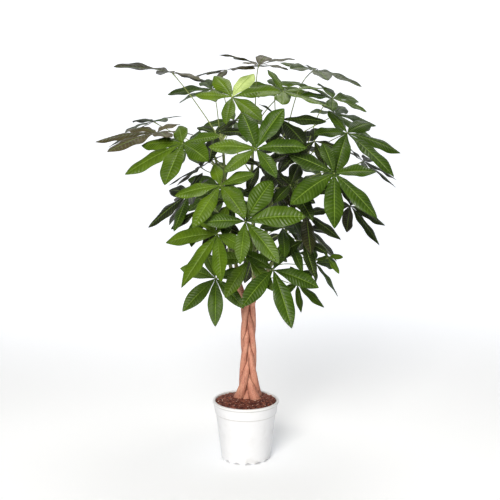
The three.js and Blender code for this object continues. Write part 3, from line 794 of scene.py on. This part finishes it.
def plastic_material():
    look = settings().pot
    material, nodes, shader, place_on = new_material("white_plastic")
    z = nodes.axes(place_on)[2]
    dust = nodes.mottle(place_on, 38.0, 0.45, 0.75)
    # Darker towards the foot, in blotches.
    foot = nodes.ramp(z, 0.0, 0.03, 0.55, 0.1)
    scratch = nodes.noise(nodes.mapped(place_on, (40.0, 40.0, 900.0)), 1.0, 4.0, 0.7)
    scuffs = nodes.times(nodes.ramp(scratch, 0.63, 0.72), 0.25)
    grime_and_shade = nodes.math("MAXIMUM", nodes.times(dust, foot), scuffs)
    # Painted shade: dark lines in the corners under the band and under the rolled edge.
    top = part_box("pot")[1].z
    for corner in (top - look.collar_height, top - look.lip_height):
        below = nodes.math("SUBTRACT", corner + 0.0006, z)
        starts, fades = nodes.ramp(below, -0.0004, 0.0002), nodes.ramp(below, 0.0, 0.006, 1.0, 0.0)
        line = nodes.times(nodes.times(starts, fades), nodes.ramp(dust, 0.0, 1.0, 0.7, 1.0))
        grime_and_shade = nodes.math("MAXIMUM", grime_and_shade, line)
    nodes.link(nodes.mix(grime_and_shade, look.plastic, look.scuff_and_shade), shader["Base Color"])
    nodes.link(nodes.ramp(dust, 0.0, 1.0, 0.34, 0.5), shader["Roughness"])
    peel = nodes.noise(place_on, 420.0, 2.0, 0.5)
    bump(nodes, shader, nodes.math("MULTIPLY_ADD", scratch, 0.3, peel), 0.12, 0.0006)
    return material


# ---- Operators ---------------------------------------------------------------------------
class MONEYTREE_OT_pot(bpy.types.Operator):
    """Turns the pot from its profile and cuts the drain arches in its foot"""

    bl_idname = "moneytree.pot"
    bl_label = "Nursery pot"

    HUB = 0.02
    DRAFT = 0.0006
    BAND_CORNER = 0.0008
    LIP_CORNER = 0.0012
    EDGE_ROUNDING = 0.003
    INNER_ROUNDING = 0.002
    FLOOR_CORNER = 0.003

    def execute(self, context):
        look = settings().pot
        low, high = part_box("pot")
        rim, top = high.x, high.z
        band = rim - look.lip_out
        collar_foot = top - look.collar_height
        inside_top = band - look.collar_step - look.wall

        def wall_radius(z):
            share = (z - look.foot_rounding) / (top - look.foot_rounding)
            return look.base_radius * (1 - share) + (inside_top + look.wall) * share

        step = wall_radius(collar_foot)
        lip_foot = top - look.lip_height
        floor = look.wall
        rounding, corner, lip = look.foot_rounding, self.BAND_CORNER, self.LIP_CORNER
        edge, inner, inside_corner = self.EDGE_ROUNDING, self.INNER_ROUNDING, self.FLOOR_CORNER
        profile = [(self.HUB, low.z), (look.base_radius - rounding, low.z)]
        profile += arc((look.base_radius - rounding, low.z + rounding), rounding, -80, 0, 6)
        profile += [(step, collar_foot - self.DRAFT), (step + self.DRAFT / 2, collar_foot)]
        profile += arc((step + look.collar_step - corner, collar_foot + corner), corner, -90, 0, 3)
        profile += [(band, lip_foot - self.DRAFT), (band + self.DRAFT / 2, lip_foot)]
        profile += arc((rim - lip, lip_foot + lip), lip, -90, 0, 4)
        profile += arc((rim - edge, top - edge), edge, 0, 90, 8)
        profile += arc((inside_top + inner, top - inner), inner, 90, 180, 5)
        profile += [(wall_radius(floor + inside_corner) - look.wall, floor + inside_corner)]
        profile += [(wall_radius(floor) - look.wall - inside_corner, floor)]
        profile += [(self.HUB, floor)]
        pot = turn("nursery_pot", profile, look.segments)
        self.cut_arches(pot, look)
        smooth(pot, 35)
        place(pot, ["pot"], [plastic_material()])
        return {"FINISHED"}

    def cut_arches(self, pot, look):
        cutters = []
        for order in range(look.arches):
            angle = math.radians(look.arch_start + 360 * order / look.arches)
            deselect()
            bpy.ops.mesh.primitive_cylinder_add(
                vertices=32, radius=1, depth=0.018, rotation=(0, math.radians(90), 0)
            )
            bpy.ops.object.transform_apply(location=True, rotation=True, scale=True)
            cutter = bpy.context.object
            cutter.scale = (1, look.arch_width / 2, look.arch_height)
            cutter.rotation_euler.z = angle
            reach = look.base_radius
            cutter.location = (reach * math.cos(angle), reach * math.sin(angle), 0)
            bpy.ops.object.transform_apply(location=True, rotation=True, scale=True)
            cutters.append(cutter)
        cutter = join(cutters, "arch_cutters")
        apply_modifier(pot, "BOOLEAN", operation="DIFFERENCE", object=cutter, solver="EXACT")
        bpy.data.objects.remove(cutter)


class MONEYTREE_OT_soil(bpy.types.Operator):
    """Heaps the potting soil in the pot and strews bark chips and pale grains over it"""

    bl_idname = "moneytree.soil"
    bl_label = "Potting soil"

    RINGS = 26
    LUMPS = [(1, 90), (0.5, 230), (0.3, 520)]
    HEAP_FOOT = 0.098
    HEAP_SLOPE = 0.055

    def execute(self, context):
        look = settings().soil
        low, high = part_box("soil")
        edge_radius = high.x
        edge = SOIL_EDGE * MM
        profile = [(0.02, low.z), (0.05, low.z), (0.062, low.z)]
        profile += [(edge_radius - 0.0015, edge - 0.004)]
        for ring in range(self.RINGS):
            share = ring / self.RINGS
            radius = edge_radius * (1 - share)
            profile.append((radius + 0.004 * share, self.mound(radius)))
        soil = turn("potting_soil", profile, 96)
        for vertex in soil.data.vertices:
            co = vertex.co
            if co.z > edge - 0.003:
                lump = sum(share * noise.noise(co * fineness) for share, fineness in self.LUMPS)
                co.z += look.roughness * (0.6 * lump - 0.1)
        smooth(soil, 180)
        place(soil, ["soil"], [soil_material("peat", look.peat, look.crumb, 160.0, 700.0)])
        self.strew("bark_chips", look.chips, (1.9, 0.9, 0.5), 0.0036, look.chip, look.peat, 11)
        self.strew("perlite", look.perlite, (1.0, 0.9, 0.8), 0.002, look.grain, look.chip, 57)
        return {"FINISHED"}

    def mound(self, radius):
        """Height of the smooth soil surface at a distance from the pot's axis."""
        share = min(max((self.HEAP_FOOT - radius) / self.HEAP_SLOPE, 0), 1)
        heap = share * share * (3 - 2 * share)
        return (SOIL_EDGE + (SOIL_MOUND - SOIL_EDGE) * heap) * MM

    def strew(self, name, amount, shape, size, high, low, seed):
        """Joins many small faceted lumps, each with its own size, turn and tint, into one piece."""
        deselect()
        bpy.ops.mesh.primitive_ico_sphere_add(subdivisions=1, radius=1)
        lump = bpy.context.object
        corners = np.array([vertex.co for vertex in lump.data.vertices])
        faces = [tuple(polygon.vertices) for polygon in lump.data.polygons]
        bpy.data.objects.remove(lump)
        random = np.random.default_rng(seed)
        points, all_faces, tints = [], [], []
        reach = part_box("soil")[1].x - 0.003
        for _ in range(amount):
            radius = reach * math.sqrt(random.uniform(0.02, 1))
            angle = random.uniform(0, 2 * math.pi)
            scale = size * random.uniform(0.45, 1.3)
            jagged = corners * random.uniform(0.7, 1.2, (len(corners), 1)) * shape * scale
            spin = Matrix.Rotation(random.uniform(0, 6.28), 3, "Z")
            tip = Matrix.Rotation(random.uniform(-0.5, 0.5), 3, "X")
            at = Vector((radius * math.cos(angle), radius * math.sin(angle), 0))
            at.z = self.mound(radius) + 0.35 * scale * shape[2]
            start = len(points)
            points += [at + spin @ (tip @ Vector(corner)) for corner in jagged]
            all_faces += [tuple(start + index for index in face) for face in faces]
            tints += [random.uniform(0, 1)] * len(corners)
        piece = mesh_piece(name, points, all_faces)
        tint = piece.data.attributes.new("tint", "FLOAT", "POINT")
        tint.data.foreach_set("value", tints)
        smooth(piece, 30)
        place(piece, [], [chip_material(name, low, high)])


class MONEYTREE_OT_trunks(bpy.types.Operator):
    """Plaits the five young trunks and leads each to its own top"""

    bl_idname = "moneytree.trunks"
    bl_label = "Plaited trunks"

    SIDES = 28
    FINE_STEP = 3.5
    STEPS_ABOVE = 110
    FIRST_SCAR = 520
    SCAR_SPACING = 43
    SCAR_LENGTH = 4.5
    SCAR_SWELL = 0.16
    CREVICE_SHADE_WIDTH = 3.5

    def execute(self, context):
        look = settings().trunk
        bark = bark_material()
        lines = {name: self.route(order, name, look) for order, name in enumerate(STEM_ROUTES)}
        for order, name in enumerate(STEM_ROUTES):
            trunk = self.grow(order, name, lines[name], look)
            others = [lines[other] for other in lines if other != name]
            self.mark_crevice_shade(trunk, others)
            smooth(trunk, 180)
            place(trunk, ["stem_" + name], [bark])
        return {"FINISHED"}

    def route(self, order, name, look):
        """Centres and radii of a trunk, drawn in to the plait's axis and thickened there."""
        centres, radii = trunk_line(order, name, self.FINE_STEP, self.STEPS_ABOVE)
        scars = [row[1] * CM_TO_MM for row in LEAVES if row[0] == name]
        scars += range(self.FIRST_SCAR + 7 * order, int(centres[-1].z), self.SCAR_SPACING)
        full = []
        for centre, radius in zip(centres, radii):
            loose = min(max((centre.z - PLAIT_TOP + 40) / 100, 0), 1)
            pressed = look.press * (1 - loose) + loose
            drawn = look.gather * (1 - loose)
            centre.x += drawn * (PLAIT_CENTRE_X - centre.x)
            centre.y += drawn * (PLAIT_CENTRE_Y - centre.y)
            knot = sum(math.exp(-(((centre.z - z) / self.SCAR_LENGTH) ** 2)) for z in scars)
            full.append(radius * pressed * (1 + self.SCAR_SWELL * min(knot, 1.2)))
        return centres, full

    def grow(self, order, name, line, look):
        centres, full = line
        tip = centres[-1] + (centres[-1] - centres[-2]).normalized() * 5
        points = [centre * MM for centre in centres] + [tip * MM]
        radii = [radius * MM for radius in full] + [0.0012]
        trunk = tube("trunk_" + name, points, radii, self.SIDES)
        for vertex in trunk.data.vertices:
            co = vertex.co
            stretched = Vector((co.x * 170, co.y * 170, co.z * 14 + order))
            furrow = noise.noise(stretched) + 0.5 * noise.noise(stretched * 2.3)
            vertex.co = co + vertex.normal * (look.ridge * furrow)
        return trunk

    def mark_crevice_shade(self, trunk, others):
        """Gives each point the closeness of the nearest other trunk, from 0 to 1 where they meet: the
        mask of the painted shade between the trunks.
        """
        mesh = trunk.data
        points = np.array([vertex.co for vertex in mesh.vertices]) / MM
        nearest = np.full(len(points), 100.0)
        for centres, radii in others:
            line = np.array([list(centre) for centre in centres])
            index = np.searchsorted(line[:, 2], points[:, 2]).clip(0, len(line) - 1)
            away = np.hypot(*(points[:, :2] - line[index, :2]).T) - np.array(radii)[index]
            nearest = np.minimum(nearest, away)
        depth = np.clip(1 - nearest / self.CREVICE_SHADE_WIDTH, 0, 1)
        crevice_shade = mesh.attributes.new("crevice_shade", "FLOAT", "POINT")
        crevice_shade.data.foreach_set("value", depth.astype(np.float32))


class MONEYTREE_OT_leaves(bpy.types.Operator):
    """Grows every leaf where the frame has it: a petiole, a hub and its veined leaflets"""

    bl_idname = "moneytree.leaves"
    bl_label = "Leaves"

    COLUMNS = 10
    PETIOLE_STEPS = 14
    AGE_SPREAD = 0.16
    WAVE = 0.02
    MIDRIB_DEPTH = 0.009

    def execute(self, context):
        look = settings().leaf
        materials = [leaf_top_material(), leaf_under_material(), petiole_material()]
        trunks = {name: trunk_line(order, name) for order, name in enumerate(STEM_ROUTES)}
        pattern = self.pattern(look)
        for index, row in enumerate(LEAVES):
            node = f"leaf_{index + 1:02d}"
            leaf = Leaf(index + 1, row, trunks)
            bow, leaflets = read_leaf(leaf, node)
            if not leaflets:
                raise RuntimeError(f"no leaflet of {node} was found in the frame")
            blades = self.blades(leaf, leaflets, pattern, look)
            stalk = self.stalk(leaf, bow)
            for material in materials:
                blades.data.materials.append(material)
            stalk.data.materials.append(materials[2])
            grown = join([blades, stalk], f"grown_{node}")
            smooth(grown, 50)
            place(grown, [node])
        return {"FINISHED"}

    def pattern(self, look):
        """A flat leaflet, modelled once: across from -1 to 1, along from 0 to 1."""
        deselect()
        rows = 2 * look.vein_pairs
        bpy.ops.mesh.primitive_grid_add(
            x_subdivisions=self.COLUMNS, y_subdivisions=rows, size=2, calc_uvs=False
        )
        flat = bpy.context.object
        across = np.array([vertex.co.x for vertex in flat.data.vertices])
        along = np.array([(vertex.co.y + 1) / 2 for vertex in flat.data.vertices])
        faces = np.array([polygon.vertices[:] for polygon in flat.data.polygons])
        bpy.data.objects.remove(flat)
        across = np.sign(across) * np.abs(across) ** 1.15
        return across, along, faces

    def blades(self, leaf, leaflets, pattern, look):
        """All the leaflets of a leaf as one thin closed piece."""
        across, along, faces = pattern
        points, all_faces, uvs, ages = [], [], [], []
        for order, direction, length in leaflets:
            start = len(points) * len(across)
            key = 11 * leaf.number + 5 * order
            points.append(self.shape(leaf, direction, length, across, along, key, look))
            all_faces.append(faces + start)
            uvs.append(np.stack([(across + 1) / 2, along], 1))
            # Painted backlight: this one leaflet takes the pale colour, as if lit through from behind.
            opened = (leaf.number, order) == BACKLIT_LEAFLET
            age = -1 if opened else leaf.age + self.AGE_SPREAD * vary(key + 3)
            ages.append(np.full(len(across), age))
        points = np.concatenate(points) * MM
        all_faces = np.concatenate(all_faces)
        piece = mesh_piece(f"blades_{leaf.number:02d}", points, all_faces.tolist())
        layer = piece.data.uv_layers.new(name="leaf")
        layer.data.foreach_set("uv", np.concatenate(uvs)[all_faces.ravel()].ravel())
        age = piece.data.attributes.new("age", "FLOAT", "POINT")
        age.data.foreach_set("value", np.concatenate(ages).astype(np.float32))
        apply_modifier(
            piece, "SOLIDIFY", thickness=look.thickness, offset=-1, material_offset=1,
            material_offset_rim=1,
        )
        return piece

    def shape(self, leaf, direction, length, across, along, key, look):
        """Bends the flat pattern to one leaflet's midrib, with its fold, veins and wavy edge."""
        d, n = np.array(direction), np.array(leaf.normal)
        up = np.array(UP)
        w = np.abs(across)
        s = along + 0.1 * w ** 1.3 * np.sin(np.pi * along)
        s = np.clip(s, 0, 1)
        line = d[None] - BLADE_DROOP * s[:, None] * up
        line /= np.linalg.norm(line, axis=1)[:, None]
        normal = n[None] - (line @ n)[:, None] * line
        normal /= np.linalg.norm(normal, axis=1)[:, None]
        side = np.cross(line, normal)
        half = length * BLADE_WIDTH * np.sin(np.pi * s ** 1.25) ** 0.85
        half = np.maximum(half, 1.1 * (1 - s) ** 0.3)
        centre = length * s[:, None] * d - (0.5 * BLADE_DROOP * length * s ** 2)[:, None] * up
        fold = look.fold * (1 + 0.5 * vary(key)) * w - 0.24 * w ** 2 * (1 + 0.6 * vary(key + 1))
        wave = self.WAVE * length * w ** 2 * np.sin(2 * np.pi * (2.2 * s + 0.5 * vary(key + 2)) + across)
        wave *= np.sin(np.pi * s)
        veins = np.cos(2 * np.pi * look.vein_pairs * along)
        swell = -0.5 * look.quilting * length * veins * np.sin(np.pi * s) ** 0.6
        swell *= np.sqrt(w) * (1 - w ** 4)
        sink = -self.MIDRIB_DEPTH * length * np.exp(-((w / 0.09) ** 2)) * np.sin(np.pi * s)
        lift = half * fold + wave + swell + sink
        twist = 0.35 * vary(key + 4) * s * half * across
        reach = half * across
        return (
            np.array(leaf.hub)[None] + centre + side * reach[:, None]
            + normal * (lift + twist)[:, None]
        )

    def stalk(self, leaf, bow):
        """The petiole, with a swollen foot on the trunk and a knob where the leaflets meet."""
        steps = self.PETIOLE_STEPS
        centres = [leaf.petiole(bow, i / steps) for i in range(steps + 1)]
        into_trunk = centres[0] - leaf.outward * 5
        above_hub = leaf.hub + leaf.normal * 1.5
        line = [into_trunk] + centres + [above_hub]
        radii = [3.6, 3.1, 2.2] + [1.75 - 0.35 * i / steps for i in range(2, steps - 1)]
        radii += [1.6, 2.6, 1.4]
        # A last short stretch before the hub, so that the knob is short.
        line.insert(-2, leaf.petiole(bow, 1 - 0.25 / steps))
        radii.insert(-2, 2.3)
        return tube(f"stalk_{leaf.number:02d}", [p * MM for p in line], [r * MM for r in radii], 8)


class MONEYTREE_OT_stage(bpy.types.Operator):
    """Sets the pale floor and backdrop, the soft lights and the camera"""

    bl_idname = "moneytree.stage"
    bl_label = "Stage"

    # Name, place, width of the softbox and watts.
    LIGHTS = [
        ("key_light", (-0.7, -3.4, 2.4), 1.5, 165),
        ("fill_light", (2.8, -2.4, 1.5), 1.6, 5),
        ("top_light", (0.4, 1.0, 3.2), 1.4, 36),
    ]

    def execute(self, context):
        look = settings().stage
        self.sweep(look)
        height = cad_box[1][2]
        middle = Vector((0, 0, 0.62 * height))
        for name, position, size, watts in self.LIGHTS:
            self.softbox(name, Vector(position), middle, size, watts)
        world = bpy.data.worlds.new("studio")
        world.use_nodes = True
        background = world.node_tree.nodes["Background"]
        background.inputs[0].default_value = (1, 1, 1, 1)
        background.inputs[1].default_value = look.ambient
        context.scene.world = world
        context.scene.view_settings.view_transform = "Standard"
        self.camera(look)
        return {"FINISHED"}

    def sweep(self, look):
        """A floor that curves up into a backdrop behind the plant."""
        deselect()
        bpy.ops.mesh.primitive_plane_add(size=9, location=(0, 0.5, 0))
        floor = bpy.context.object
        bpy.ops.object.transform_apply(location=True, rotation=True, scale=True)
        back = max(vertex.co.y for vertex in floor.data.vertices)
        bpy.ops.object.mode_set(mode="EDIT")
        shell = bmesh.from_edit_mesh(floor.data)
        for edge in shell.edges:
            edge.select = all(vertex.co.y > back - 0.01 for vertex in edge.verts)
        shell.select_flush_mode()
        bmesh.update_edit_mesh(floor.data)
        bpy.ops.mesh.select_mode(type="EDGE")
        bpy.ops.mesh.extrude_edges_move(TRANSFORM_OT_translate={"value": (0, 0, 4.5)})
        bpy.ops.object.mode_set(mode="OBJECT")
        apply_modifier(floor, "BEVEL", width=1.5, segments=16, limit_method="ANGLE")
        bpy.ops.object.shade_smooth()
        floor.name = "studio_sweep"
        material, nodes, shader, place_on = new_material("studio_paper")
        mask = nodes.mottle(place_on, 0.8, 0.3, 0.7)
        paper = nodes.mix(nodes.times(mask, 0.03), look.floor, (0.8, 0.8, 0.8, 1))
        nodes.link(paper, shader["Base Color"])
        shader["Roughness"].default_value = 0.9
        shader["Emission Color"].default_value = look.floor
        # The floor near the plant glows less than the backdrop.
        glow = nodes.ramp(nodes.axes(place_on)[1], 0.5, 2.6, 0.36 * look.glow, look.glow)
        nodes.link(glow, shader["Emission Strength"])
        floor.data.materials.append(material)

    def softbox(self, name, position, aim, size, watts):
        light = bpy.data.lights.new(name, "AREA")
        light.shape = "SQUARE"
        light.size = size
        light.energy = watts
        light.color = (1, 0.96, 0.88)
        lamp = bpy.data.objects.new(name, light)
        lamp.location = position
        lamp.rotation_euler = (aim - position).to_track_quat("-Z", "Y").to_euler()
        bpy.context.scene.collection.objects.link(lamp)

    def camera(self, look):
        data = bpy.data.cameras.new("camera")
        data.lens = look.lens
        data.sensor_width = 36
        data.clip_end = 50
        camera = bpy.data.objects.new("camera", data)
        camera.location = (look.aside, -look.distance, look.height)
        camera.rotation_euler = (math.radians(90 - look.tilt), 0, 0)
        bpy.context.scene.collection.objects.link(camera)
        bpy.context.scene.camera = camera


class MoneyTreeSettings(bpy.types.PropertyGroup):
    pot: bpy.props.PointerProperty(type=PotSettings, name="Pot")
    soil: bpy.props.PointerProperty(type=SoilSettings, name="Soil")
    trunk: bpy.props.PointerProperty(type=TrunkSettings, name="Trunks")
    leaf: bpy.props.PointerProperty(type=LeafSettings, name="Leaves")
    stage: bpy.props.PointerProperty(type=StageSettings, name="Stage")


OPERATORS = [
    MONEYTREE_OT_stage,
    MONEYTREE_OT_pot,
    MONEYTREE_OT_soil,
    MONEYTREE_OT_trunks,
    MONEYTREE_OT_leaves,
]


class MONEYTREE_PT_panel(bpy.types.Panel):
    """Lists the pieces of the plant and their sizes and colours"""

    bl_label = "Money Tree"
    bl_idname = "MONEYTREE_PT_panel"
    bl_space_type = "VIEW_3D"
    bl_region_type = "UI"
    bl_category = "Money Tree"

    def draw(self, context):
        layout = self.layout
        for operator in OPERATORS:
            layout.operator(operator.bl_idname)
        for name in ("pot", "soil", "trunk", "leaf", "stage"):
            group = getattr(settings(), name)
            box = layout.box()
            box.label(text=name.title())
            for key in group.__annotations__:
                box.prop(group, key)


CLASSES = [
    PotSettings,
    SoilSettings,
    TrunkSettings,
    LeafSettings,
    StageSettings,
    MoneyTreeSettings,
    *OPERATORS,
    MONEYTREE_PT_panel,
]


def register():
    for cls in CLASSES:
        bpy.utils.register_class(cls)
    bpy.types.Scene.money_tree = bpy.props.PointerProperty(type=MoneyTreeSettings)


def unregister():
    del bpy.types.Scene.money_tree
    for cls in reversed(CLASSES):
        bpy.utils.unregister_class(cls)


def main():
    register()
    bpy.ops.moneytree.stage()
    bpy.ops.moneytree.pot()
    bpy.ops.moneytree.soil()
    bpy.ops.moneytree.trunks()
    bpy.ops.moneytree.leaves()


if __name__ == "__main__":
    main()
